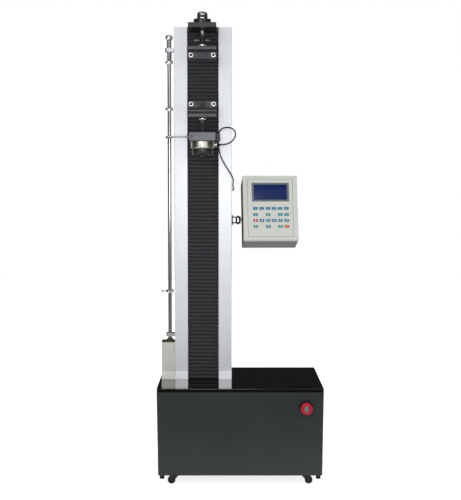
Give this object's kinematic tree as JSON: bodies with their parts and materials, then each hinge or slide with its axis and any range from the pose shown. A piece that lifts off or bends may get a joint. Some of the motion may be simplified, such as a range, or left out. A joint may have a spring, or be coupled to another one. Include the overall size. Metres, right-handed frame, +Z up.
{
  "type": "peel testing machine",
  "caption": "Single-column peel tester: cabinet base on casters, screw-driven crosshead with force sensor, plate grips, bellows, limit rod and a keypad controller on an arm.",
  "frame": {"origin": "on the floor, under the middle of the base", "axes": "+X to the operator's right, +Y away from the operator, +Z up"},
  "size_m": [0.536, 0.428, 1.522],
  "materials": {
    "cabinet_paint": "satin",
    "gloss_top": "gloss",
    "anodised_profile": "satin",
    "black_steel": "satin",
    "blackened_steel": "satin",
    "bright_steel": "polished",
    "ground_steel": "ground",
    "bellows_sheet": "matt",
    "rubber": "matt",
    "cream_paint": "satin",
    "case_paint": "satin",
    "keypad_film": "satin",
    "black_plastic": "matt",
    "red_plastic": "gloss",
    "screen": "gloss",
    "cable_sheath": "satin",
    "cast_aluminium": "cast"
  },
  "bodies": {
    "frame": {"cabinet_shell": "cabinet_paint", "rear_panel": "cabinet_paint", "top_plate": "gloss_top", "column_profiles": "anodised_profile", "column_back_cover": "anodised_profile", "top_bracket": "black_steel", "screw_bearings": "ground_steel", "guide_rods": "ground_steel", "lower_bellows": "bellows_sheet", "upper_bellows": "bellows_sheet", "limit_switch_box": "cream_paint", "limit_switches": "black_plastic", "rod_gland": "bright_steel", "rod_guide_brackets": "bright_steel", "drive_bracket": "cast_aluminium", "motor": "black_plastic", "timing_belt": "rubber", "drive_unit": "cast_aluminium", "estop_collar": "black_plastic", "power_inlet": "black_plastic", "levelling_feet": "rubber", "upper_spindle": "bright_steel", "upper_grip_yoke": "black_steel", "panel_bracket": "blackened_steel", "cable_grommet": "black_plastic"},
    "crosshead": {"crosshead_arm": "black_steel", "carriage": "cast_aluminium", "ball_nut": "ground_steel", "load_cell": "bright_steel", "lower_spindle": "bright_steel", "lower_grip_yoke": "black_steel", "trip_arm": "bright_steel", "cable_plug": "bright_steel", "load_cell_cable": "cable_sheath"},
    "screw": {"lead_screw": "ground_steel", "screw_pulley": "cast_aluminium"},
    "motor_shaft": {"motor_pulley": "cast_aluminium"},
    "limit_rod": {"limit_rod": "bright_steel", "stop_collars": "bright_steel", "centring_springs": "bright_steel"},
    "upper_jaw": {"upper_jaw": "black_steel"},
    "lower_jaw": {"lower_jaw": "black_steel"},
    "swivel_knuckle": {"swivel_knuckle": "bright_steel"},
    "controller": {"case_back": "case_paint", "case_front": "case_paint", "keypad_overlay": "keypad_film", "lcd_module": "screen"},
    "estop_head": {"estop_head": "red_plastic"},
    "upper_left_screw": {"upper_left_screw": "bright_steel"},
    "upper_right_screw": {"upper_right_screw": "bright_steel"},
    "lower_left_screw": {"lower_left_screw": "bright_steel"},
    "lower_right_screw": {"lower_right_screw": "bright_steel"},
    "front_left_caster_fork": {"front_left_caster_fork": "blackened_steel"},
    "front_left_caster_wheel": {"front_left_caster_wheel": "rubber"},
    "front_right_caster_fork": {"front_right_caster_fork": "blackened_steel"},
    "front_right_caster_wheel": {"front_right_caster_wheel": "rubber"},
    "rear_left_caster_fork": {"rear_left_caster_fork": "blackened_steel"},
    "rear_left_caster_wheel": {"rear_left_caster_wheel": "rubber"},
    "rear_right_caster_fork": {"rear_right_caster_fork": "blackened_steel"},
    "rear_right_caster_wheel": {"rear_right_caster_wheel": "rubber"}
  },
  "joints": [
    {"name": "lead_screw_spin", "type": "hinge", "parent": "frame", "child": "screw", "pos_m": [-0.122, 0.04, 0.7], "axis": [0, 0, 1], "range_deg": [-5616, 36000]},
    {"name": "crosshead_slide", "type": "slide", "parent": "frame", "child": "crosshead", "axis": [0, 0, 1], "range_m": [-0.5, 0.078], "deforming": ["lower_bellows", "upper_bellows", "load_cell_cable"]},
    {"name": "motor_pulley_spin", "type": "hinge", "parent": "frame", "child": "motor_shaft", "pos_m": [0, 0.04, 0.25], "axis": [0, 0, 1], "range_deg": [-11232, 72000]},
    {"name": "limit_rod_slide", "type": "slide", "parent": "frame", "child": "limit_rod", "axis": [0, 0, 1], "range_m": [-0.003, 0.003], "stiffness_N_per_m": 8000, "deforming": ["centring_springs"]},
    {"name": "estop_press", "type": "slide", "parent": "frame", "child": "estop_head", "axis": [0, 1, 0], "range_m": [0, 0.005], "stiffness_N_per_m": 1500},
    {"name": "panel_swivel", "type": "hinge", "parent": "frame", "child": "swivel_knuckle", "pos_m": [-0.00491, 0.08929, 0.8454], "axis": [0, 0, 1], "range_deg": [-10, 40]},
    {"name": "panel_tilt", "type": "hinge", "parent": "swivel_knuckle", "child": "controller", "pos_m": [-0.00491, 0.08929, 0.8454], "axis": [0.9986, 0.0523, 0], "range_deg": [-42, 18]},
    {"name": "upper_jaw_slide", "type": "slide", "parent": "frame", "child": "upper_jaw", "axis": [0, -1, 0], "range_m": [0, 0.006]},
    {"name": "upper_left_screw_turn", "type": "hinge", "parent": "upper_jaw", "child": "upper_left_screw", "pos_m": [-0.158, -0.104, 1.38275], "axis": [0, -1, 0], "range_deg": [0, 1440]},
    {"name": "upper_right_screw_turn", "type": "hinge", "parent": "upper_jaw", "child": "upper_right_screw", "pos_m": [-0.086, -0.104, 1.38275], "axis": [0, -1, 0], "range_deg": [0, 1440]},
    {"name": "lower_jaw_slide", "type": "slide", "parent": "crosshead", "child": "lower_jaw", "axis": [0, -1, 0], "range_m": [0, 0.006]},
    {"name": "lower_left_screw_turn", "type": "hinge", "parent": "lower_jaw", "child": "lower_left_screw", "pos_m": [-0.158, -0.104, 1.22575], "axis": [0, -1, 0], "range_deg": [0, 1440]},
    {"name": "lower_right_screw_turn", "type": "hinge", "parent": "lower_jaw", "child": "lower_right_screw", "pos_m": [-0.086, -0.104, 1.22575], "axis": [0, -1, 0], "range_deg": [0, 1440]},
    {"name": "front_left_caster_swivel", "type": "hinge", "parent": "frame", "child": "front_left_caster_fork", "pos_m": [-0.213, -0.165, 0.035], "axis": [0, 0, 1], "continuous": true},
    {"name": "front_left_wheel_roll", "type": "hinge", "parent": "front_left_caster_fork", "child": "front_left_caster_wheel", "pos_m": [-0.222, -0.165, 0.0125], "axis": [0, 1, 0], "continuous": true},
    {"name": "front_right_caster_swivel", "type": "hinge", "parent": "frame", "child": "front_right_caster_fork", "pos_m": [0.213, -0.165, 0.035], "axis": [0, 0, 1], "continuous": true},
    {"name": "front_right_wheel_roll", "type": "hinge", "parent": "front_right_caster_fork", "child": "front_right_caster_wheel", "pos_m": [0.222, -0.165, 0.0125], "axis": [0, 1, 0], "continuous": true},
    {"name": "rear_left_caster_swivel", "type": "hinge", "parent": "frame", "child": "rear_left_caster_fork", "pos_m": [-0.213, 0.165, 0.035], "axis": [0, 0, 1], "continuous": true},
    {"name": "rear_left_wheel_roll", "type": "hinge", "parent": "rear_left_caster_fork", "child": "rear_left_caster_wheel", "pos_m": [-0.222, 0.165, 0.0125], "axis": [0, 1, 0], "continuous": true},
    {"name": "rear_right_caster_swivel", "type": "hinge", "parent": "frame", "child": "rear_right_caster_fork", "pos_m": [0.213, 0.165, 0.035], "axis": [0, 0, 1], "continuous": true},
    {"name": "rear_right_wheel_roll", "type": "hinge", "parent": "rear_right_caster_fork", "child": "rear_right_caster_wheel", "pos_m": [0.222, 0.165, 0.0125], "axis": [0, 1, 0], "continuous": true}
  ],
  "couplings": [
    {"joint": "lead_screw_spin", "follows": "crosshead_slide", "rad_per_m": -1256.6},
    {"joint": "motor_pulley_spin", "follows": "crosshead_slide", "rad_per_m": -2513.3},
    {"joint": "upper_left_screw_turn", "follows": "upper_jaw_slide", "rad_per_m": 4188.8},
    {"joint": "upper_right_screw_turn", "follows": "upper_jaw_slide", "rad_per_m": 4188.8},
    {"joint": "lower_left_screw_turn", "follows": "lower_jaw_slide", "rad_per_m": 4188.8},
    {"joint": "lower_right_screw_turn", "follows": "lower_jaw_slide", "rad_per_m": 4188.8}
  ]
}
